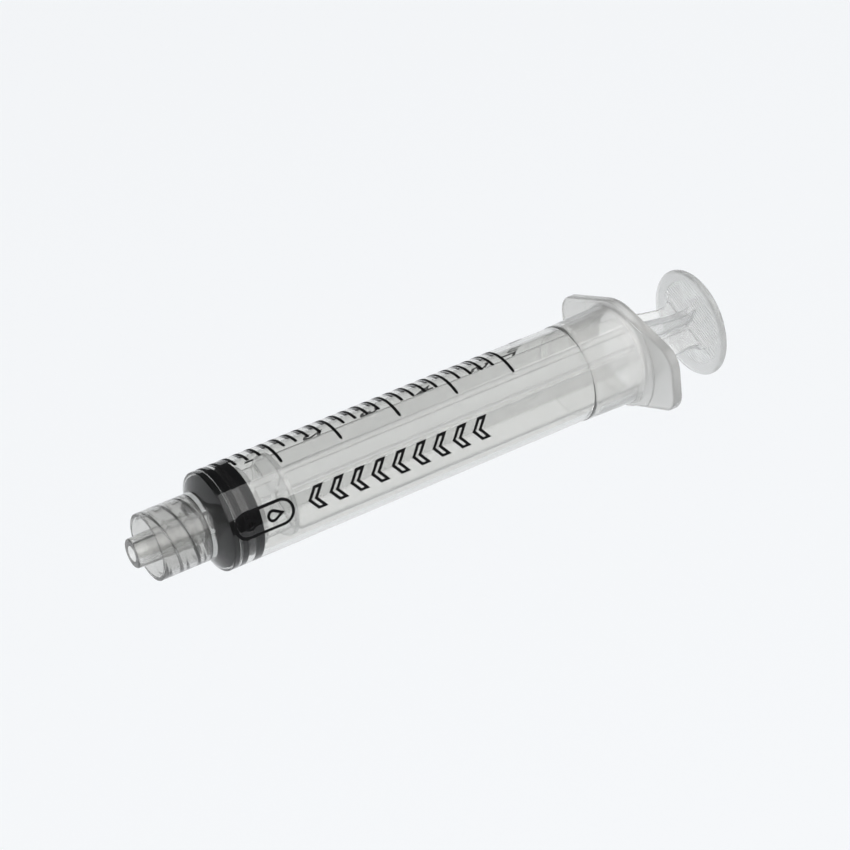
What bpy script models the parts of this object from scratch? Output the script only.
"""A 5 mL luer-lock syringe with its plunger pressed home, in metres, +Z up.

Three pieces: the clear barrel, moulded in one with its finger flange, male luer tip and threaded
locking collar; the rubber stopper, which slides in the bore; and the clear plunger rod, whose round
head sits in the stopper. The syringe lies on one side of its flange, its axis along +X, from the
tip to the thumb press. Stations and radii below are in millimetres, stations from the end of the tip.
"""

import math

import bmesh
import bpy
from mathutils import Matrix, Vector

MM = 0.001
SEGMENTS = 40

# Luer tip and locking collar
TIP_RADIUS = 1.98
LUER_TAPER = 0.03  # radius gained per millimetre: the 6 % luer taper
TIP_EDGE = 0.25
FLUID_HOLE_RADIUS = 1.05
COLLAR_FRONT = 2.2
COLLAR_FLOOR = 9.3
COLLAR_RADIUS = 4.52
COLLAR_BASE = 9.9
THREAD_ROOT_RADIUS = 4.0
THREAD_HEIGHT = 0.42
THREAD_LEAD = 5.0
THREAD_STARTS = 2
THREAD_ROWS = 22

# Barrel
BARREL_RADIUS = 6.7
BORE_RADIUS = 6.03
SHOULDER_STATION = 11.0
SHOULDER_RADIUS = 6.39
SHOULDER_END = 11.4
INNER_FRONT = 11.1
INNER_FRONT_EDGE = 12.0
BORE_CORNER = 0.15
STEP_STATION = 66.24
REAR_RADIUS = 7.0
BEAD_WIDTH = 1.6
BEAD_HEIGHT = 0.15
REAR_FACE = 76.12
MOUTH_CHAMFER = 0.3

# Finger flange: a long six-sided plate, tapered from its middle to its two ends
FLANGE_FRONT = 74.53
FLANGE_HALF_LENGTH = 12.8
FLANGE_HALF_WIDTH = 8.0
FLANGE_TAPER = math.radians(17.0)
FLANGE_END_CORNER = 3.2
FLANGE_SIDE_CORNER = 8.0
FLANGE_EDGE = 0.3
FLARE_RADIUS = 0.5
FLARE_STEPS = 4
AXIS_HEIGHT = FLANGE_HALF_WIDTH * math.cos(FLANGE_TAPER)

# Stopper
STOPPER_CLEARANCE = 0.1
STOPPER_RADIUS = BORE_RADIUS - STOPPER_CLEARANCE
STOPPER_REAR = 15.6
GROOVE_RADIUS = 5.25
GROOVE_FRONT = 13.3
GROOVE_REAR = 14.1
RIB_EDGE = 0.2

# Plunger rod
HEAD_FRONT = 13.1
HEAD_REAR = 14.1
HEAD_RADIUS = 3.1
NECK_RADIUS = 1.9
HEAD_GAP = 0.15
FRONT_DISC_REAR = 16.5
FRONT_DISC_RADIUS = 5.4
GUIDE_DISC_FRONT = 20.2
GUIDE_DISC_REAR = 20.9
RIB_HALF_WIDTH = 5.6
RIB_THICKNESS = 1.1
RIB_TWIST = math.radians(14.4)
NECKING_START = 74.0
NECKING_HALF_WIDTH = 3.6
NECKING_STATION = 85.0
RIB_FOOT_HALF_WIDTH = 5.3
PRESS_FRONT = 86.94
PRESS_REAR = 87.94
PRESS_RADIUS = 7.64
PRESS_EDGE = 0.35

TIP_X = -PRESS_REAR / 2


def clear_scene():
    for old in list(bpy.data.objects):
        bpy.data.objects.remove(old, do_unlink=True)


def material(name, colour, roughness, alpha=1.0, transmission=0.0):
    made = bpy.data.materials.new(name)
    made.use_nodes = True
    shader = made.node_tree.nodes["Principled BSDF"]
    shader.inputs["Base Color"].default_value = (*colour, 1.0)
    shader.inputs["Roughness"].default_value = roughness
    shader.inputs["Metallic"].default_value = 0.0
    shader.inputs["Alpha"].default_value = alpha
    shader.inputs["Transmission Weight"].default_value = transmission
    made.diffuse_color = (*colour, alpha)
    return made


def add_object(name, shape, finish=None):
    """Makes the bmesh an object whose origin is the end of the tip, on the syringe's axis."""
    mesh = bpy.data.meshes.new(name)
    bmesh.ops.recalc_face_normals(shape, faces=shape.faces)
    shape.to_mesh(mesh)
    shape.free()
    mesh.transform(Matrix.Scale(MM, 4))
    made = bpy.data.objects.new(name, mesh)
    made.location = (TIP_X * MM, 0.0, AXIS_HEIGHT * MM)
    bpy.context.scene.collection.objects.link(made)
    mesh.shade_smooth()
    mesh.set_sharp_from_angle(angle=math.radians(30))
    if finish:
        mesh.materials.append(finish)
    return made


def lathe(outline):
    """Turns a closed outline of (station, radius) points about the X axis."""
    shape = bmesh.new()
    ring = [shape.verts.new((station, 0.0, radius)) for station, radius in outline]
    edges = [shape.edges.new(ends) for ends in zip(ring, ring[1:] + ring[:1])]
    bmesh.ops.spin(
        shape, geom=ring + edges, cent=(0, 0, 0), axis=(1, 0, 0), angle=math.tau, steps=SEGMENTS
    )
    bmesh.ops.remove_doubles(shape, verts=shape.verts, dist=1e-4)
    bmesh.ops.dissolve_degenerate(shape, edges=shape.edges, dist=1e-5)
    return shape


def prism(corners, front, rear):
    """Extrudes a closed outline of (y, z) points along X."""
    shape = bmesh.new()
    face = shape.faces.new([shape.verts.new((front, y, z)) for y, z in corners])
    sides = bmesh.ops.extrude_face_region(shape, geom=[face])
    moved = [part for part in sides["geom"] if isinstance(part, bmesh.types.BMVert)]
    bmesh.ops.translate(shape, verts=moved, vec=(rear - front, 0, 0))
    return shape


def helper(name, shape):
    """A shape that only takes part in a Boolean."""
    made = add_object(name, shape)
    made.hide_render = True
    made.display_type = "WIRE"
    return made


def boolean(target, other, operation):
    step = target.modifiers.new(f"{operation.lower()}_{other.name}", "BOOLEAN")
    step.operation = operation
    step.object = other
    step.solver = "EXACT"


def arc(centre, radius, start, end, steps):
    """Points of an arc round (station, radius) centre, its angles in degrees from +X."""
    angles = [math.radians(start + (end - start) * i / steps) for i in range(steps + 1)]
    return [(centre[0] + radius * math.cos(a), centre[1] + radius * math.sin(a)) for a in angles]


def barrel_outline():
    """The barrel's wall, round from the end of the tip over the outside and back through the bore."""
    tip_root_radius = TIP_RADIUS + LUER_TAPER * COLLAR_FLOOR
    tip = [(0.0, FLUID_HOLE_RADIUS)]
    tip += [(0.0, TIP_RADIUS - TIP_EDGE), (TIP_EDGE * 0.4, TIP_RADIUS - TIP_EDGE * 0.3)]
    tip += [(TIP_EDGE, TIP_RADIUS + LUER_TAPER * TIP_EDGE), (COLLAR_FLOOR, tip_root_radius)]
    row = (COLLAR_FLOOR - COLLAR_FRONT) / THREAD_ROWS
    thread = [(COLLAR_FLOOR - row * i, THREAD_ROOT_RADIUS) for i in range(THREAD_ROWS + 1)]
    collar = [(COLLAR_FRONT, COLLAR_RADIUS - 0.1), (COLLAR_FRONT + 0.1, COLLAR_RADIUS)]
    collar += [(COLLAR_BASE, COLLAR_RADIUS), (SHOULDER_STATION, SHOULDER_RADIUS)]
    shoulder = [(SHOULDER_STATION + 0.14, BARREL_RADIUS - 0.1), (SHOULDER_END, BARREL_RADIUS)]
    rear = [(STEP_STATION - 0.3, BARREL_RADIUS), (STEP_STATION, REAR_RADIUS)]
    flare_centre = (FLANGE_FRONT - FLARE_RADIUS, REAR_RADIUS + FLARE_RADIUS)
    flare = arc(flare_centre, FLARE_RADIUS, -90, 0, FLARE_STEPS)
    inside_flange = (FLANGE_FRONT + REAR_FACE) / 2
    flare += [(inside_flange, REAR_RADIUS + FLARE_RADIUS), (inside_flange, REAR_RADIUS)]
    mouth = [(REAR_FACE, REAR_RADIUS), (REAR_FACE, BORE_RADIUS + MOUTH_CHAMFER)]
    mouth += [(REAR_FACE - MOUTH_CHAMFER, BORE_RADIUS)]
    bead_middle = STEP_STATION + BEAD_WIDTH / 2
    bead = [(bead_middle + BEAD_WIDTH / 2, BORE_RADIUS)]
    bead += [(bead_middle, BORE_RADIUS - BEAD_HEIGHT), (bead_middle - BEAD_WIDTH / 2, BORE_RADIUS)]
    front = [(INNER_FRONT_EDGE + BORE_CORNER, BORE_RADIUS)]
    front += [(INNER_FRONT_EDGE, BORE_RADIUS - BORE_CORNER), (INNER_FRONT, FLUID_HOLE_RADIUS)]
    return tip + thread + collar + shoulder + rear + flare + mouth + bead + front


def cut_thread(shape):
    """Raises the double-start helical ridge on the inside of the collar."""
    for vert in shape.verts:
        station, radius = vert.co.x, math.hypot(vert.co.y, vert.co.z)
        inside = COLLAR_FRONT + 0.3 < station < COLLAR_FLOOR - 0.3
        if not inside or abs(radius - THREAD_ROOT_RADIUS) > 1e-3:
            continue
        turn = math.atan2(vert.co.z, vert.co.y) / math.tau
        wave = math.cos(math.tau * THREAD_STARTS * (station / THREAD_LEAD - turn))
        ridge = THREAD_HEIGHT * min(1.0, max(0.0, (wave + 0.35) / 0.9))
        vert.co.yz = vert.co.yz * ((radius - ridge) / radius)


def rounded_corners(corners, steps):
    """Replaces each corner of a convex outline of (y, z, radius) points by an arc."""
    outline = []
    for i, (y, z, radius) in enumerate(corners):
        here = Vector((y, z))
        before = (Vector(corners[i - 1][:2]) - here).normalized()
        after = (Vector(corners[(i + 1) % len(corners)][:2]) - here).normalized()
        half_angle = before.angle(after) / 2
        middle = here + (before + after).normalized() * radius / math.sin(half_angle)
        first = here + before * radius / math.tan(half_angle) - middle
        last = here + after * radius / math.tan(half_angle) - middle
        turn = first.angle_signed(last)
        for step in range(steps + 1):
            outline.append(tuple(middle + Matrix.Rotation(-turn * step / steps, 2) @ first))
    return outline


def flange_outline():
    """The flange's (y, z) outline, turned so that one tapered side lies level below the axis."""
    end_half_width = FLANGE_HALF_WIDTH - FLANGE_HALF_LENGTH * math.tan(FLANGE_TAPER)
    long, high, low = FLANGE_HALF_LENGTH, FLANGE_HALF_WIDTH, end_half_width
    end, side = FLANGE_END_CORNER, FLANGE_SIDE_CORNER
    corners = [(0, -high, side), (long, -low, end), (long, low, end)]
    corners += [(-y, -z, radius) for y, z, radius in corners]
    turned = Matrix.Rotation(-FLANGE_TAPER, 2)
    return [tuple(turned @ Vector(p)) for p in rounded_corners(corners, 4)]


def add_barrel(finish):
    tube = lathe(barrel_outline())
    cut_thread(tube)
    barrel = add_object("barrel", tube, finish)
    plate = helper("flange_plate", prism(flange_outline(), FLANGE_FRONT, REAR_FACE))
    edge = plate.modifiers.new("rounded_edges", "BEVEL")
    edge.width = FLANGE_EDGE * MM
    edge.segments = 2
    edge.limit_method = "ANGLE"
    edge.angle_limit = math.radians(60)
    hole_radius = (BORE_RADIUS + REAR_RADIUS) / 2
    hole = [(FLANGE_FRONT - 1, 0), (FLANGE_FRONT - 1, hole_radius)]
    hole += [(REAR_FACE + 1, hole_radius), (REAR_FACE + 1, 0)]
    boolean(plate, helper("flange_hole", lathe(hole)), "DIFFERENCE")
    boolean(barrel, plate, "UNION")
    return barrel


def add_stopper(finish):
    """Two sealing ribs with a groove between them, a shallow cone in front and a pocket behind."""
    gap = STOPPER_CLEARANCE
    front_edge = INNER_FRONT_EDGE + gap
    outline = [(INNER_FRONT + gap, 0.0), (INNER_FRONT + gap, FLUID_HOLE_RADIUS)]
    outline += [(front_edge, STOPPER_RADIUS - BORE_CORNER - gap / 2)]
    outline += [(front_edge + RIB_EDGE, STOPPER_RADIUS), (GROOVE_FRONT - RIB_EDGE, STOPPER_RADIUS)]
    outline += [(GROOVE_FRONT, STOPPER_RADIUS - RIB_EDGE), (GROOVE_FRONT + 0.15, GROOVE_RADIUS)]
    outline += [(GROOVE_REAR - 0.15, GROOVE_RADIUS), (GROOVE_REAR, STOPPER_RADIUS - RIB_EDGE)]
    outline += [(GROOVE_REAR + RIB_EDGE, STOPPER_RADIUS), (STOPPER_REAR - RIB_EDGE, STOPPER_RADIUS)]
    outline += [(STOPPER_REAR, STOPPER_RADIUS - RIB_EDGE), (STOPPER_REAR, NECK_RADIUS + HEAD_GAP)]
    outline += [(HEAD_REAR + HEAD_GAP, NECK_RADIUS + HEAD_GAP)]
    outline += [(HEAD_REAR + HEAD_GAP, HEAD_RADIUS + HEAD_GAP)]
    outline += [(HEAD_FRONT - HEAD_GAP, HEAD_RADIUS + HEAD_GAP), (HEAD_FRONT - HEAD_GAP, 0.0)]
    return add_object("stopper", lathe(outline), finish)


def rib_edge():
    """The ribs' edge from the front disc to the thumb press: necked behind the flange, then flared."""
    points = [(FRONT_DISC_REAR - 0.3, RIB_HALF_WIDTH - 0.4), (FRONT_DISC_REAR + 1.0, RIB_HALF_WIDTH)]
    run = NECKING_STATION - NECKING_START
    for i in range(9):
        drop = 0.5 - 0.5 * math.cos(math.pi * i / 8)
        width = RIB_HALF_WIDTH - (RIB_HALF_WIDTH - NECKING_HALF_WIDTH) * drop
        points.append((NECKING_START + run * i / 8, width))
    flare = PRESS_FRONT - NECKING_STATION
    for i in range(1, 5):
        rise = 1 - math.cos(math.pi / 2 * i / 4)
        width = NECKING_HALF_WIDTH + (RIB_FOOT_HALF_WIDTH - NECKING_HALF_WIDTH) * rise
        points.append((NECKING_STATION + flare * i / 4, width))
    return points + [(PRESS_FRONT + 0.4, RIB_FOOT_HALF_WIDTH)]


def rib_pair(angle):
    """Two opposite ribs as one plate through the axis, turned about +X by angle from upright."""
    edge = rib_edge()
    outline = edge + [(station, -width) for station, width in reversed(edge)]
    shape = bmesh.new()
    half = RIB_THICKNESS / 2
    face = shape.faces.new([shape.verts.new((station, -half, width)) for station, width in outline])
    sides = bmesh.ops.extrude_face_region(shape, geom=[face])
    moved = [part for part in sides["geom"] if isinstance(part, bmesh.types.BMVert)]
    bmesh.ops.translate(shape, verts=moved, vec=(0, RIB_THICKNESS, 0))
    bmesh.ops.rotate(shape, verts=shape.verts, matrix=Matrix.Rotation(angle, 3, "X"))
    return shape


def add_plunger_rod(finish):
    rod = add_object("plunger_rod", rib_pair(RIB_TWIST), finish)
    head = [(HEAD_FRONT, 0.0), (HEAD_FRONT, HEAD_RADIUS - 0.3), (HEAD_FRONT + 0.3, HEAD_RADIUS)]
    head += [(HEAD_REAR, HEAD_RADIUS), (HEAD_REAR, NECK_RADIUS)]
    disc_front = STOPPER_REAR + HEAD_GAP
    head += [(disc_front, NECK_RADIUS), (disc_front, FRONT_DISC_RADIUS)]
    head += [(FRONT_DISC_REAR, FRONT_DISC_RADIUS), (FRONT_DISC_REAR, 0.0)]
    guide = [(GUIDE_DISC_FRONT, 0.0), (GUIDE_DISC_FRONT, RIB_HALF_WIDTH)]
    guide += [(GUIDE_DISC_REAR, RIB_HALF_WIDTH), (GUIDE_DISC_REAR, 0.0)]
    press = [(PRESS_FRONT, 0.0), (PRESS_FRONT, PRESS_RADIUS - PRESS_EDGE)]
    press += [(PRESS_FRONT + PRESS_EDGE, PRESS_RADIUS), (PRESS_REAR - PRESS_EDGE, PRESS_RADIUS)]
    press += [(PRESS_REAR, PRESS_RADIUS - PRESS_EDGE), (PRESS_REAR, 0.0)]
    boolean(rod, helper("cross_ribs", rib_pair(RIB_TWIST + math.pi / 2)), "UNION")
    for name, outline in (("rod_head", head), ("guide_disc", guide), ("thumb_press", press)):
        boolean(rod, helper(name, lathe(outline)), "UNION")
    return rod


def main():
    clear_scene()
    clear_plastic = material("clear_plastic", (0.93, 0.94, 0.95), 0.08, 0.35, 1.0)
    rod_plastic = material("rod_plastic", (0.90, 0.91, 0.92), 0.15, 0.6, 0.9)
    rubber = material("black_rubber", (0.02, 0.02, 0.022), 0.45)
    add_barrel(clear_plastic)
    add_stopper(rubber)
    add_plunger_rod(rod_plastic)


main()
